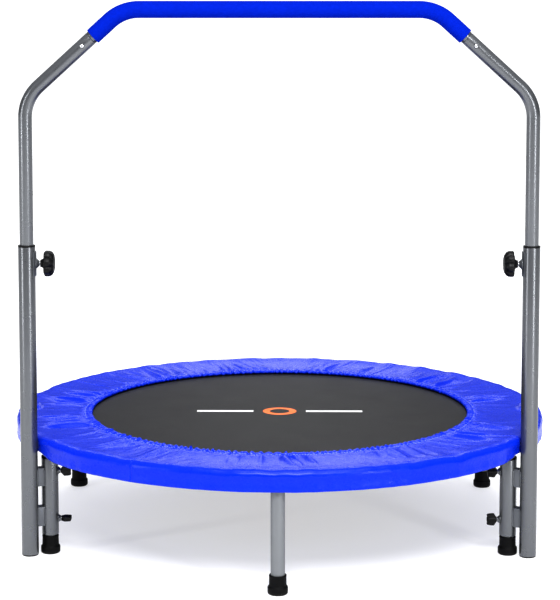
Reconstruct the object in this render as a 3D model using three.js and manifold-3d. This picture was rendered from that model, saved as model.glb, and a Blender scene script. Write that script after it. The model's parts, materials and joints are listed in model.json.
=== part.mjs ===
// A half-folding exercise trampoline with a height-adjustable, U-shaped hand rail.
// Millimetres, +Z up. The origin is on the floor under the centre of the frame ring; the rail stands at -Y.
// The ring is cut in two at y = 0 and hinged there: the front half stands still and the back half folds over it.
import * as THREE from "three";
import { mergeVertices } from "three/addons/utils/BufferGeometryUtils.js";
import Module from "manifold-3d";

// ---- driving dimensions -------------------------------------------------------------------------
const SLIM_TUBE = 25.4; // outside diameter of the frame, legs and upper rail
const WIDE_TUBE = 31.8; // outside diameter of the posts and leg sleeves
const SLIM_WALL = 1.2;
const WIDE_WALL = 1.5;
const GAP = 0.3; // clearance kept between pieces that touch

const FRAME_RADIUS = 495.3; // centreline of the frame ring, 1016 mm across outside
const FRAME_Z = 207.5;
const FOLD_Z = 224.5; // the fold axis runs along X at y = 0, just above the ring
const BUTT_GAP = 0.5; // from the fold plane to each ring end

const MAT_RADIUS = 400;
const MAT_TOP = 216.5;
const MAT_THICK = 2;
const MAT_CLEAR_RADIUS = 370; // the jumping surface, inside the pad's opening
const HEM_STEP = 0.4; // the mat's edge is pulled down this far under the pad
const SPRINGS_PER_HALF = 16;
const SPRING_RADIUS = 4.25;
const SPRING_Z = 213.5;

const PAD_INNER = 371.8;
const PAD_OUTER = 520;
const PAD_TOP = 226;
const PAD_UNDER = 218.2;
const SKIRT_BOTTOM = 187;
const PAD_SETBACK = 9; // from the fold plane to each pad end

const FOOT_HEIGHT = 35;
const LEG_BOTTOM = 6;
const LEG_ANGLES = { right: 30, middle: 90, left: 150 }; // on the back half; the front half is turned round

const POST = new THREE.Vector2(465, -264);
const POST_BOTTOM = 2.8;
const POST_TOP = 582;
const SLEEVE_BOTTOM = 37;
const SLEEVE_TOP = 182;
const BRACKET_LEVELS = { upper: [131, 165], lower: [55, 91] };
const WING_LEVELS = { upper: 157.5, lower: 66 };

const KNOB_Z = 551;
const HEIGHT_STEP = 65; // spacing of the four height holes
const RAIL_BOTTOM = 440;
const RAIL_SHOULDER = new THREE.Vector2(465, 854.3); // where the upright would meet the slope
const RAIL_CORNER = new THREE.Vector2(285.5, 1017.7); // where the slope would meet the top bar
const RAIL_JOINT_X = 343; // where the top bar slides into each side tube
const RAIL_BEND = 78;
const SOCKET_DEPTH = 45;
const BUTTON_FROM_JOINT = 20.5;
const FOAM_RADIUS = 15.5;

const SIDES = 16; // facets round a tube
const HIDDEN_SIDES = 12; // facets round a tube that a cover hides
const HALF_TURN_STEPS = 18; // steps round half the ring

// ---- worked out ---------------------------------------------------------------------------------
const SLIM_R = SLIM_TUBE / 2;
const WIDE_R = WIDE_TUBE / 2;
const SLIM_BORE = SLIM_R - SLIM_WALL;
const WIDE_BORE = WIDE_R - WIDE_WALL;
const RUNNING_BORE = SLIM_R + 0.35; // a faceted bore that a slim tube passes through
const LEG_TOP = FRAME_Z - SLIM_R - GAP;
const M8 = 3.5; // the radius that clears the faceted M8 bores
const M8_BORE = 4;
const DEGREE = Math.PI / 180;

const wasm = await Module();
wasm.setup();

// ---- colours ------------------------------------------------------------------------------------
const finish = (color, roughness, metalness) => new THREE.MeshStandardMaterial({ color, roughness, metalness });
const FINISH = {
  greyPaint: () => finish(0x8b9096, 0.38, 0.55),
  steel: () => finish(0xc4c8cc, 0.28, 0.95),
  blackPlastic: () => finish(0x141416, 0.45, 0),
  rubber: () => finish(0x17181a, 0.8, 0),
  blueFoam: () => finish(0x1233d6, 0.85, 0),
  blueVinyl: () => finish(0x0e30f0, 0.35, 0),
  blackMesh: () => finish(0x343537, 0.75, 0),
};

// ---- geometry helpers ---------------------------------------------------------------------------

/** Keeps only corner positions, merges equal ones, drops empty triangles and turns every face outwards. */
function closed(geometry) {
  const bare = new THREE.BufferGeometry();
  bare.setAttribute("position", geometry.getAttribute("position"));
  bare.setIndex(geometry.index);
  const merged = mergeVertices(bare, 1e-4);
  const corner = (i) => new THREE.Vector3().fromBufferAttribute(merged.getAttribute("position"), i);
  const faces = [];
  let volume = 0;
  for (let i = 0; i < merged.index.count; i += 3) {
    const [a, b, c] = [0, 1, 2].map((k) => merged.index.getX(i + k));
    if (a === b || b === c || c === a) continue;
    faces.push([a, b, c]);
    volume += corner(a).dot(corner(b).cross(corner(c)));
  }
  merged.setIndex((volume < 0 ? faces.map(([a, b, c]) => [a, c, b]) : faces).flat());
  return merged;
}

/** A geometry as a solid that can be joined and cut. */
function solid(geometry) {
  const shell = closed(geometry);
  const vertProperties = new Float32Array(shell.getAttribute("position").array);
  const triVerts = new Uint32Array(shell.index.array);
  return new wasm.Manifold(new wasm.Mesh({ numProp: 3, vertProperties, triVerts }));
}

/** A joined or cut solid as a geometry. */
function geometryOf(body) {
  const { vertProperties, triVerts } = body.getMesh();
  const geometry = new THREE.BufferGeometry();
  geometry.setAttribute("position", new THREE.BufferAttribute(vertProperties, 3));
  geometry.setIndex(new THREE.BufferAttribute(triVerts, 1));
  return geometry;
}

const joined = (first, ...rest) => rest.reduce((body, piece) => body.add(solid(piece)), solid(first));
const cut = (body, ...cutters) => cutters.reduce((left, cutter) => left.subtract(solid(cutter)), body);

/** A solid of revolution about +Z from [radius, height] points. */
function turned(profile, sides = SIDES) {
  const points = profile.map(([r, z]) => new THREE.Vector2(r, z));
  return closed(new THREE.LatheGeometry(points, sides).rotateX(Math.PI / 2));
}

/** A rod about +Z between two heights. */
const rod = (radius, from, to, sides = 12) => turned([[0, from], [radius, from], [radius, to], [0, to]], sides);

/** A pipe about +Z between two heights. */
const pipe = (outer, bore, from, to) =>
  turned([[bore, from], [outer, from], [outer, to], [bore, to], [bore, from]]);

/** A flat outline of [x, y] points, extruded along +Z between two heights, with optional rounded edges. */
function plate(outline, from, to, { hole, bevel = 0 } = {}) {
  const shape = new THREE.Shape(outline.map(([x, y]) => new THREE.Vector2(x, y)));
  if (hole) shape.holes.push(new THREE.Path(hole.map(([x, y]) => new THREE.Vector2(x, y))));
  const rounding = { bevelEnabled: bevel > 0, bevelThickness: bevel, bevelSize: bevel, bevelOffset: -bevel };
  const options = { depth: to - from - 2 * bevel, bevelSegments: 1, ...rounding };
  return closed(new THREE.ExtrudeGeometry(shape, options).translate(0, 0, from + bevel));
}

/** [x, y] points on a circular arc, angles in degrees. */
function arc(radius, from, to, steps, [x, y] = [0, 0]) {
  return Array.from({ length: steps + 1 }, (_, i) => {
    const angle = (from + ((to - from) * i) / steps) * DEGREE;
    return [x + radius * Math.cos(angle), y + radius * Math.sin(angle)];
  });
}

/** A centreline known at chosen stations, so that a straight run takes one step and a bend takes several. */
class Stations extends THREE.Curve {
  constructor(points, tangents) {
    super();
    this.points = points;
    this.tangents = tangents;
  }

  get steps() {
    return this.points.length - 1;
  }

  getPointAt(u) {
    return this.points[Math.round(u * this.steps)].clone();
  }

  getTangentAt(u) {
    return this.tangents[Math.round(u * this.steps)].clone();
  }
}

/** Half a circle on the +Y side, its ends set back from the fold plane, with an extra station near each end. */
function halfCircle(radius, z, setback, nearEnd = 4) {
  const start = Math.asin(setback / radius) / DEGREE;
  const step = 180 / HALF_TURN_STEPS;
  const between = Array.from({ length: HALF_TURN_STEPS - 1 }, (_, i) => (i + 1) * step);
  const angles = [start, nearEnd, ...between, 180 - nearEnd, 180 - start];
  const outwards = angles.map((a) => new THREE.Vector3(Math.cos(a * DEGREE), Math.sin(a * DEGREE), 0));
  const points = outwards.map(({ x, y }) => new THREE.Vector3(radius * x, radius * y, z));
  const tangents = outwards.map(({ x, y }) => new THREE.Vector3(-y, x, 0));
  return new Stations(points, tangents);
}

/** A path through corners, each corner rounded to the rail's bend radius. */
function roundedPath(corners, stepsPerBend = 4) {
  const towards = (a, b) => b.clone().sub(a).normalize();
  const points = [corners[0]];
  const tangents = [towards(corners[0], corners[1])];
  for (let i = 1; i < corners.length - 1; i += 1) {
    const before = towards(corners[i - 1], corners[i]);
    const after = towards(corners[i], corners[i + 1]);
    const turn = before.angleTo(after);
    const axis = before.clone().cross(after).normalize();
    const inward = after.clone().sub(before).normalize();
    const centre = corners[i].clone().addScaledVector(inward, RAIL_BEND / Math.cos(turn / 2));
    for (let k = 0; k <= stepsPerBend; k += 1) {
      const tangent = before.clone().applyAxisAngle(axis, (turn * k) / stepsPerBend);
      points.push(centre.clone().addScaledVector(axis.clone().cross(tangent), -RAIL_BEND));
      tangents.push(tangent);
    }
  }
  points.push(corners.at(-1));
  tangents.push(towards(corners.at(-2), corners.at(-1)));
  return new Stations(points, tangents);
}

/** A flat section swept along a centreline. */
function swept(path, outline, hole) {
  const shape = new THREE.Shape(outline.map(([x, y]) => new THREE.Vector2(x, y)));
  if (hole) shape.holes.push(new THREE.Path(hole.map(([x, y]) => new THREE.Vector2(x, y))));
  return closed(new THREE.ExtrudeGeometry(shape, { steps: path.steps, extrudePath: path }));
}

const circle = (radius, sides = SIDES) => arc(radius, 0, 360, sides).slice(0, -1);
const tube = (path, radius, bore, sides = SIDES) => swept(path, circle(radius, sides), circle(bore, sides));

// ---- scene graph helpers ------------------------------------------------------------------------
const group = new THREE.Group();

/** Adds one named piece, in its own material, to a parent group. */
function add(name, geometry, material, { to = group, at = [0, 0, 0], turn = [0, 0, 0] } = {}) {
  const mesh = new THREE.Mesh(geometry, material());
  mesh.name = name;
  mesh.position.set(...at);
  mesh.rotation.set(...turn);
  to.add(mesh);
  return mesh;
}

const SIDE = { left: -1, right: 1 };
const HALF = { front: -1, back: 1 };

/** The [x, y, z] of a place on the ring's circle, on the floor. */
const onRing = (degrees) => [...arc(FRAME_RADIUS, degrees, degrees, 1)[0], 0];

/** A turn that points a piece's own +Z at the middle of the trampoline, then rolls it about that line. */
const inwards = (side, roll = 0) => [0, (-side * Math.PI) / 2, roll * DEGREE];

// ---- frame ring, legs and feet ------------------------------------------------------------------

/** Half the ring: a bent tube with a hole underneath for each leg's stud. */
function frameHalf() {
  const path = halfCircle(FRAME_RADIUS, FRAME_Z, BUTT_GAP);
  const ring = solid(tube(path, SLIM_R, SLIM_BORE, HIDDEN_SIDES));
  const studHole = () => rod(M8_BORE + 0.6, LEG_TOP - 2, FRAME_Z);
  return geometryOf(cut(ring, ...Object.values(LEG_ANGLES).map((a) => studHole().translate(...onRing(a)))));
}

/** A leg tube, closed at the top by a plug whose threaded stud screws up into the ring. */
function leg() {
  const plugDepth = 6;
  const studTop = FRAME_Z - SLIM_BORE + 5;
  return turned([
    [0, studTop], [M8_BORE, studTop], [M8_BORE, LEG_TOP], [SLIM_R, LEG_TOP],
    [SLIM_R, LEG_BOTTOM], [SLIM_BORE, LEG_BOTTOM], [SLIM_BORE, LEG_TOP - plugDepth], [0, LEG_TOP - plugDepth],
  ]);
}

/** A rubber cup with a flared sole. */
function foot() {
  const bore = SLIM_R + GAP;
  return turned([
    [0, 0], [15, 0], [18, 3.5], [18, 14.5], [15.6, 15.4],
    [14.75, FOOT_HEIGHT], [bore, FOOT_HEIGHT], [bore, LEG_BOTTOM - GAP], [0, LEG_BOTTOM - GAP],
  ]);
}

// ---- fold hinges --------------------------------------------------------------------------------
const KNUCKLE_RADIUS = 3.8;
const PIN_RADIUS = 2;
const HINGE_HALF_WIDTH = 11.5;

/** One leaf: a saddle welded over a ring end and turned along it, with knuckles round the fold axis. */
function hingeLeaf(side, half, knuckles) {
  const saddle = [...arc(15.4, 25, 155, 5), ...arc(13.4, 155, 25, 5)];
  const alongRing = side * half * 2 * DEGREE;
  const overTube = plate(saddle, 4.6, 34).rotateX(Math.PI / 2).scale(1, -half, 1).rotateZ(alongRing);
  let leaf = solid(overTube.translate(0, 0, FRAME_Z));
  for (const [from, to] of knuckles) {
    const barrel = rod(KNUCKLE_RADIUS, from, to).rotateY(Math.PI / 2).translate(0, 0, FOLD_Z);
    const link = plate([[from, 1.6], [to, 1.6], [to, 8], [from, 8]], FOLD_Z - 3.5, FOLD_Z - 1.7).scale(1, half, 1);
    leaf = leaf.add(solid(barrel)).add(solid(link));
  }
  const bore = rod(PIN_RADIUS + GAP, -20, 20).rotateY(Math.PI / 2).translate(0, 0, FOLD_Z);
  return geometryOf(cut(leaf, bore));
}

/** A headed pin along X. */
function hingePin() {
  const end = HINGE_HALF_WIDTH + GAP;
  const head = end + 1.4;
  const headRadius = 3.3;
  const profile = [
    [0, -head], [headRadius, -head], [headRadius, -end], [PIN_RADIUS, -end],
    [PIN_RADIUS, end], [headRadius, end], [headRadius, head], [0, head],
  ];
  return turned(profile, 12).rotateY(Math.PI / 2);
}

// ---- mat, springs and pad -----------------------------------------------------------------------

/** Half the jumping mat, on the +Y side: the edge lies a little lower than the jumping surface. */
function matHalf() {
  const halfDisc = (radius) => halfCircle(radius, 0, BUTT_GAP).points.map(({ x, y }) => [x, y]);
  const bottom = MAT_TOP - MAT_THICK;
  const edge = plate(halfDisc(MAT_RADIUS), bottom, MAT_TOP - HEM_STEP);
  return geometryOf(joined(edge, plate(halfDisc(MAT_CLEAR_RADIUS), bottom, MAT_TOP)));
}

/** Half the mat's edge webbing with its springs: plain rods of each spring's outside size. */
function springHalf() {
  const [inner, outer, bottom] = [MAT_RADIUS + 1.5, MAT_RADIUS + 8, SPRING_Z - 1.5];
  const webbing = [[inner, MAT_TOP], [outer, MAT_TOP], [outer, bottom], [inner, bottom]];
  const section = webbing.map(([r, z]) => [SPRING_Z - z, MAT_RADIUS - r]);
  let body = solid(swept(halfCircle(MAT_RADIUS, SPRING_Z, 3), section));
  const outerEnd = FRAME_RADIUS - SLIM_R - 1.8;
  for (let i = 0; i < SPRINGS_PER_HALF; i += 1) {
    const angle = ((i + 0.5) * Math.PI) / SPRINGS_PER_HALF;
    const spring = rod(SPRING_RADIUS, MAT_RADIUS + 4, outerEnd, 4).rotateZ(Math.PI / 4);
    body = body.add(solid(spring.rotateY(Math.PI / 2).rotateZ(angle).translate(0, 0, SPRING_Z)));
  }
  return geometryOf(body);
}

/** Half the safety pad: flat over the springs, round over the ring, and down into a skirt. */
function padHalf(half) {
  const overTube = 16.2;
  const crest = 12;
  const underAngle = 180 - Math.asin((PAD_UNDER - FRAME_Z) / overTube) / DEGREE;
  const outline = [
    [PAD_INNER, PAD_UNDER],
    ...arc(overTube, underAngle, 0, 4, [FRAME_RADIUS, FRAME_Z]),
    [516.2, SKIRT_BOTTOM], [519.2, SKIRT_BOTTOM],
    ...arc(crest, 0, 90, 3, [PAD_OUTER - crest, PAD_TOP - crest]),
    [PAD_INNER + 4, PAD_TOP], [PAD_INNER, PAD_TOP - 2.5],
  ];
  const section = outline.map(([r, z]) => [FRAME_Z - z, FRAME_RADIUS - r]);
  const ring = swept(halfCircle(FRAME_RADIUS, FRAME_Z, PAD_SETBACK), section);
  if (half === HALF.back) return ring;
  const room = (side) => rod(WIDE_R + 0.4, 150, 260, 24).translate(side * POST.x, -POST.y, 0);
  return geometryOf(cut(solid(ring), ...Object.values(SIDE).map(room)));
}

// ---- posts, sleeves and what clamps them --------------------------------------------------------

/** A post tube, drilled on its inner side for the height stud. */
function post() {
  const hole = rod(M8_BORE + 0.5, 5, WIDE_R + 5).rotateY(Math.PI / 2).translate(0, 0, KNOB_Z);
  return geometryOf(cut(solid(pipe(WIDE_R, WIDE_BORE, POST_BOTTOM, POST_TOP)), hole));
}

/** A plastic bush: a lip on the tube's end and a spigot down inside it. */
function bush(end, lip, spigot) {
  const fit = WIDE_BORE - GAP;
  return turned([
    [RUNNING_BORE, end + lip], [WIDE_R, end + lip], [WIDE_R, end + GAP], [fit, end + GAP],
    [fit, end - spigot], [RUNNING_BORE, end - spigot], [RUNNING_BORE, end + lip],
  ]);
}

/** The plug that closes the foot of a post. */
function postPlug() {
  const top = POST_BOTTOM - GAP;
  const fit = WIDE_BORE - GAP;
  return turned([[0, 0], [13.6, 0], [15.4, 1.2], [15.4, top], [fit, top], [fit, 15], [0, 15]]);
}

/** A sleeve tube round a leg, with a welded conical nut on its inner side at each wing bolt. */
function sleeve() {
  const nut = [[0, WIDE_R - 1.2], [8, WIDE_R - 1.2], [8, WIDE_R - 0.4], [4.8, WIDE_R + 4], [0, WIDE_R + 4]];
  let body = solid(pipe(WIDE_R, WIDE_BORE, SLEEVE_BOTTOM, SLEEVE_TOP));
  for (const z of Object.values(WING_LEVELS)) {
    body = body.add(solid(turned(nut, 12).rotateY(Math.PI / 2).translate(0, 0, z)));
    body = cut(body, rod(M8_BORE, 5, WIDE_R + 10).rotateY(Math.PI / 2).translate(0, 0, z));
  }
  return geometryOf(body);
}

/** A pressed box bracket that joins a sleeve to its post; its own +X runs from sleeve to post. */
function bracket(span, height) {
  const hug = WIDE_R + GAP;
  const thick = 2.4;
  const outside = [...arc(hug, 36, -36, 4), ...arc(hug, 216, 144, 4, [span, 0])];
  const inside = [...arc(hug + thick, 21, -21, 3), ...arc(hug + thick, 201, 159, 3, [span, 0])];
  return plate(outside, 0, height, { hole: inside });
}

/** The saddle plate and conical nut welded on a post for the height stud; its own +Z is the stud's line. */
function knobNut() {
  const saddle = [...arc(WIDE_R + GAP, -42, 42, 6), ...arc(WIDE_R + GAP + 1.8, 42, -42, 6)];
  const cone = [[0, WIDE_R + 1], [9.5, WIDE_R + 1], [9.5, WIDE_R + 2.4], [4.8, WIDE_R + 7.4], [0, WIDE_R + 7.4]];
  const wrapped = plate(saddle, -22, 23).rotateY(-Math.PI / 2).rotateZ(Math.PI);
  const body = solid(wrapped).add(solid(turned(cone, 12)));
  return geometryOf(cut(body, rod(M8_BORE, 5, WIDE_R + 12)));
}

/** A threaded stud that stops just short of the tube it clamps. */
function stud(reach) {
  const tip = SLIM_R + 0.5;
  return turned([[0, tip], [M8 - 1, tip], [M8, tip + 1.3], [M8, reach], [0, reach]], 12);
}

/** The lobed height knob: a domed star on a tapered hub. */
function heightKnob() {
  const lobes = 7;
  const [hubStart, lobesStart, face] = [25.2, 31.2, 52];
  const outline = Array.from({ length: lobes * 4 }, (_, i) => {
    const angle = (i * 2 * Math.PI) / (lobes * 4);
    const radius = 22.4 + 1.8 * Math.cos(lobes * angle);
    return [radius * Math.cos(angle), radius * Math.sin(angle)];
  });
  const rim = 24.5;
  const dome = turned([
    [0, hubStart], [7, hubStart], [9, lobesStart], [rim, lobesStart + 1], [rim, 41], [18, face - 2.5], [0, face],
  ], 20);
  const hub = rod(9.5, hubStart - 1, lobesStart + 4, 16);
  const star = solid(plate(outline, lobesStart, face, { bevel: 2 })).add(solid(hub));
  return geometryOf(cut(star.intersect(solid(dome)), rod(M8 + GAP, hubStart - 5, 44)));
}

/** A wing knob: a flat paddle that widens from the bolt's neck. */
function wingKnob() {
  const [neck, length] = [WIDE_R + 5, 19];
  const outline = [[-3, 0], [3, 0], [11.4, 5.4], [10, length], [-10, length], [-11.4, 5.4]];
  const paddle = plate(outline, -5.6, 5.6, { bevel: 1.4 }).rotateX(Math.PI / 2).translate(0, 0, neck);
  return geometryOf(cut(solid(paddle), rod(M8 + GAP, neck - 5, neck + 12)));
}

// ---- hand rail ----------------------------------------------------------------------------------
const inRailPlane = (x, z) => new THREE.Vector3(x, POST.y, z);
const slope = RAIL_CORNER.clone().sub(RAIL_SHOULDER).normalize();
const jointZ = RAIL_SHOULDER.y + ((RAIL_JOINT_X - RAIL_SHOULDER.x) * slope.y) / slope.x;
const buttonAt = new THREE.Vector2(RAIL_JOINT_X, jointZ).addScaledVector(slope, -BUTTON_FROM_JOINT);
const mirrored = (point, side) => new THREE.Vector3(side * point.x, point.y, point.z);

/** A cutter for the snap button's hole, through the front wall only. */
function buttonHole(side) {
  return rod(4.2, 6, 20).rotateX(Math.PI / 2).translate(side * buttonAt.x, POST.y, buttonAt.y);
}

/** One side of the rail: upright in its post, then sloping in to the top bar, with four height holes. */
function sideTube(side) {
  const corners = [
    inRailPlane(RAIL_SHOULDER.x, RAIL_BOTTOM),
    inRailPlane(RAIL_SHOULDER.x, RAIL_SHOULDER.y),
    inRailPlane(RAIL_JOINT_X, jointZ),
  ].map((point) => mirrored(point, side));
  const body = solid(tube(roundedPath(corners), SLIM_R, SLIM_BORE));
  const heightHole = () => rod(M8_BORE, 6, 20).rotateY((-side * Math.PI) / 2);
  const heights = [0, 1, 2, 3].map((i) => heightHole().translate(side * POST.x, POST.y, KNOB_Z + i * HEIGHT_STEP));
  return geometryOf(cut(body, buttonHole(side), ...heights));
}

/** The top bar: bent down at both ends, each end reduced to slide into a side tube. */
function topBar() {
  const bore = 10;
  const gapToTube = 0.8;
  const meet = new THREE.Vector2(RAIL_JOINT_X, jointZ).addScaledVector(slope, gapToTube);
  const ends = Object.values(SIDE).map((side) => inRailPlane(side * meet.x, meet.y));
  const bends = Object.values(SIDE).map((side) => inRailPlane(side * RAIL_CORNER.x, RAIL_CORNER.y));
  let body = solid(tube(roundedPath([ends[0], bends[0], bends[1], ends[1]]), SLIM_R, SLIM_BORE, HIDDEN_SIDES));
  const [slim, full] = [11.2, 11.9];
  const spigot = [
    [bore, -SOCKET_DEPTH], [slim, -SOCKET_DEPTH], [slim, 0], [full, 0.6],
    [full, 12], [bore, 12], [bore, -SOCKET_DEPTH],
  ];
  for (const side of Object.values(SIDE)) {
    const tilt = Math.atan2(side * slope.x, slope.y);
    body = body.add(solid(turned(spigot, HIDDEN_SIDES).rotateY(tilt).translate(side * meet.x, POST.y, meet.y)));
  }
  return geometryOf(cut(body, ...Object.values(SIDE).map(buttonHole)));
}

/** The foam grip over the top bar and both its bends. */
function foamGrip() {
  const start = new THREE.Vector2(RAIL_JOINT_X, jointZ).addScaledVector(slope, 5);
  const ends = Object.values(SIDE).map((side) => inRailPlane(side * start.x, start.y));
  const bends = Object.values(SIDE).map((side) => inRailPlane(side * RAIL_CORNER.x, RAIL_CORNER.y));
  return tube(roundedPath([ends[0], bends[0], bends[1], ends[1]]), FOAM_RADIUS, RUNNING_BORE, HIDDEN_SIDES);
}

/** A snap button on its spring leaf; its own +Z points out of the tube. */
function snapButton() {
  const dome = [[0, 7.4], [3.7, 7.4], [3.7, 13.4], [2.6, 14.5], [0, 15]];
  const leaf = plate([[-4.5, -12], [4.5, -12], [4.5, 12], [-4.5, 12]], 6.9, 7.7);
  return geometryOf(joined(turned(dome, 12), leaf));
}

// ---- assembly -----------------------------------------------------------------------------------
for (const [where, half] of Object.entries(HALF)) {
  const side = new THREE.Group();
  side.rotation.z = half === HALF.front ? Math.PI : 0;
  group.add(side);
  add(`${where}_frame_half`, frameHalf(), FINISH.greyPaint, { to: side });
  add(`${where}_mat_half`, matHalf(), FINISH.blackMesh, { to: side });
  add(`${where}_springs`, springHalf(), FINISH.steel, { to: side });
  add(`${where}_pad_half`, padHalf(half), FINISH.blueVinyl, { to: side });
  for (const [spot, degrees] of Object.entries(LEG_ANGLES)) {
    const seen = half === HALF.back ? spot : { right: "left", middle: "middle", left: "right" }[spot];
    add(`${where}_${seen}_leg`, leg(), FINISH.greyPaint, { to: side, at: onRing(degrees) });
    add(`${where}_${seen}_foot`, foot(), FINISH.rubber, { to: side, at: onRing(degrees) });
  }
}

const KNUCKLES = { front: [[-HINGE_HALF_WIDTH, -4.4], [4.4, HINGE_HALF_WIDTH]], back: [[-4, 4]] };
const WING_ROLL = { left: { upper: 28, lower: 90 }, right: { upper: 12, lower: 0 } };

for (const [name, side] of Object.entries(SIDE)) {
  const ringEnd = [side * FRAME_RADIUS, 0, 0];
  for (const [where, half] of Object.entries(HALF)) {
    add(`${name}_hinge_${where}_leaf`, hingeLeaf(side, half, KNUCKLES[where]), FINISH.greyPaint, { at: ringEnd });
  }
  add(`${name}_hinge_pin`, hingePin(), FINISH.steel, { at: [side * FRAME_RADIUS, 0, FOLD_Z] });

  const [legX, legY] = onRing(side === SIDE.right ? -30 : -150);
  const towardsMiddle = side === SIDE.right ? Math.PI : 0;
  add(`${name}_sleeve`, sleeve(), FINISH.greyPaint, { at: [legX, legY, 0], turn: [0, 0, towardsMiddle] });
  add(`${name}_sleeve_liner`, bush(SLEEVE_TOP, 4, 14), FINISH.blackPlastic, { at: [legX, legY, 0] });

  const postAt = [side * POST.x, POST.y];
  add(`${name}_post`, post(), FINISH.greyPaint, { at: [...postAt, 0], turn: [0, 0, towardsMiddle] });
  add(`${name}_post_collar`, bush(POST_TOP, 3, 20), FINISH.blackPlastic, { at: [...postAt, 0] });
  add(`${name}_post_plug`, postPlug(), FINISH.blackPlastic, { at: [...postAt, 0] });
  const offset = new THREE.Vector2(postAt[0] - legX, postAt[1] - legY);
  for (const [level, [bottom, top]] of Object.entries(BRACKET_LEVELS)) {
    const shape = bracket(offset.length(), top - bottom);
    const place = { at: [legX, legY, bottom], turn: [0, 0, offset.angle()] };
    add(`${name}_${level}_bracket`, shape, FINISH.greyPaint, place);
  }

  add(`${name}_knob_nut`, knobNut(), FINISH.greyPaint, { at: [...postAt, KNOB_Z], turn: inwards(side) });
  add(`${name}_height_stud`, stud(40), FINISH.steel, { at: [...postAt, KNOB_Z], turn: inwards(side) });
  add(`${name}_height_knob`, heightKnob(), FINISH.blackPlastic, { at: [...postAt, KNOB_Z], turn: inwards(side) });
  for (const [level, z] of Object.entries(WING_LEVELS)) {
    const roll = WING_ROLL[name][level];
    const at = [legX, legY, z];
    add(`${name}_${level}_wing_stud`, stud(WIDE_R + 16), FINISH.steel, { at, turn: inwards(side) });
    add(`${name}_${level}_wing_knob`, wingKnob(), FINISH.blackPlastic, { at, turn: inwards(side, roll) });
  }

  add(`${name}_side_tube`, sideTube(side), FINISH.greyPaint);
  const slopeTurn = new THREE.Group();
  slopeTurn.position.set(side * buttonAt.x, POST.y, buttonAt.y);
  slopeTurn.rotation.y = Math.atan2(side * slope.x, slope.y);
  group.add(slopeTurn);
  add(`${name}_snap_button`, snapButton(), FINISH.steel, { to: slopeTurn, turn: [Math.PI / 2, 0, 0] });
}

add("top_bar", topBar(), FINISH.greyPaint);
add("foam_grip", foamGrip(), FINISH.blueFoam);

export default group;
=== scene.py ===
"""A half-folding fitness trampoline with a gathered blue safety pad and a U-shaped hand rail, in metres."""
import json
import math

import bmesh
import bpy
import numpy as np
from mathutils import Matrix, Vector


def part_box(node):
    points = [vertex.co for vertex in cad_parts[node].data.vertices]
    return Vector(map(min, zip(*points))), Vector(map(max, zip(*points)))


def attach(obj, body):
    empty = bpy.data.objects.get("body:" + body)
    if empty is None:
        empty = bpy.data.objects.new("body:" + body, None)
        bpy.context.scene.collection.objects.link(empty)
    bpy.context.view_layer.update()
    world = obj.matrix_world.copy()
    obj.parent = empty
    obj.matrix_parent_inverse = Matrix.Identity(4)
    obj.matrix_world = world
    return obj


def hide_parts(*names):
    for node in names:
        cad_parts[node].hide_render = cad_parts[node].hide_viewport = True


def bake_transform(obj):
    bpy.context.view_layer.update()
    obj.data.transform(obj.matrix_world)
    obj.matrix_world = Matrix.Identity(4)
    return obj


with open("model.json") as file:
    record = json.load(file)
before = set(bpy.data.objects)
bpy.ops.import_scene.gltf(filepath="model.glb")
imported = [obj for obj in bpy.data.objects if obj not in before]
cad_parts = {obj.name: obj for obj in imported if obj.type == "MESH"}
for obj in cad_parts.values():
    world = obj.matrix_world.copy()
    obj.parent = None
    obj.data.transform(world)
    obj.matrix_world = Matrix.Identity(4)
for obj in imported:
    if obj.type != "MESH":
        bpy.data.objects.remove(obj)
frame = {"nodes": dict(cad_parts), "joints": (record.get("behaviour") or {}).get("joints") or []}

SCENE = bpy.context.scene
MM = 0.001
FULL_TURN = 2 * math.pi
SIDES = {"left": -1, "right": 1}
HALVES = {"front": (-1, "front_frame"), "back": (1, "folding_half")}
SPOTS = ("left", "middle", "right")
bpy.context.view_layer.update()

# ---- sizes that the frame gives ----
RING_LOW, RING_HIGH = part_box("front_frame_half")
SLIM_R = (RING_HIGH.z - RING_LOW.z) / 2
RING_Z = (RING_HIGH.z + RING_LOW.z) / 2
RING_RADIUS = RING_HIGH.x - SLIM_R
PAD_LOW, PAD_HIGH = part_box("front_pad_half")
PAD_OUTER = -PAD_LOW.y
PAD_TOP = PAD_HIGH.z
SKIRT_BOTTOM = PAD_LOW.z
MAT_LOW, MAT_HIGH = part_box("front_mat_half")
MAT_RADIUS = -MAT_LOW.y
MAT_TOP = MAT_HIGH.z
POST_LOW, POST_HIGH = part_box("right_post")
WIDE_R = (POST_HIGH.x - POST_LOW.x) / 2
POST_X = (POST_HIGH.x + POST_LOW.x) / 2
POST_Y = (POST_HIGH.y + POST_LOW.y) / 2
SLEEVE_LOW, SLEEVE_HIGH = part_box("right_sleeve")
LINER_LOW, LINER_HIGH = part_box("right_sleeve_liner")
SLEEVE_X = (LINER_LOW.x + LINER_HIGH.x) / 2
SLEEVE_Y = (SLEEVE_HIGH.y + SLEEVE_LOW.y) / 2
FOLD_Z = next(joint for joint in frame["joints"] if joint["name"] == "frame_fold")["pos_m"][2]

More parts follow.
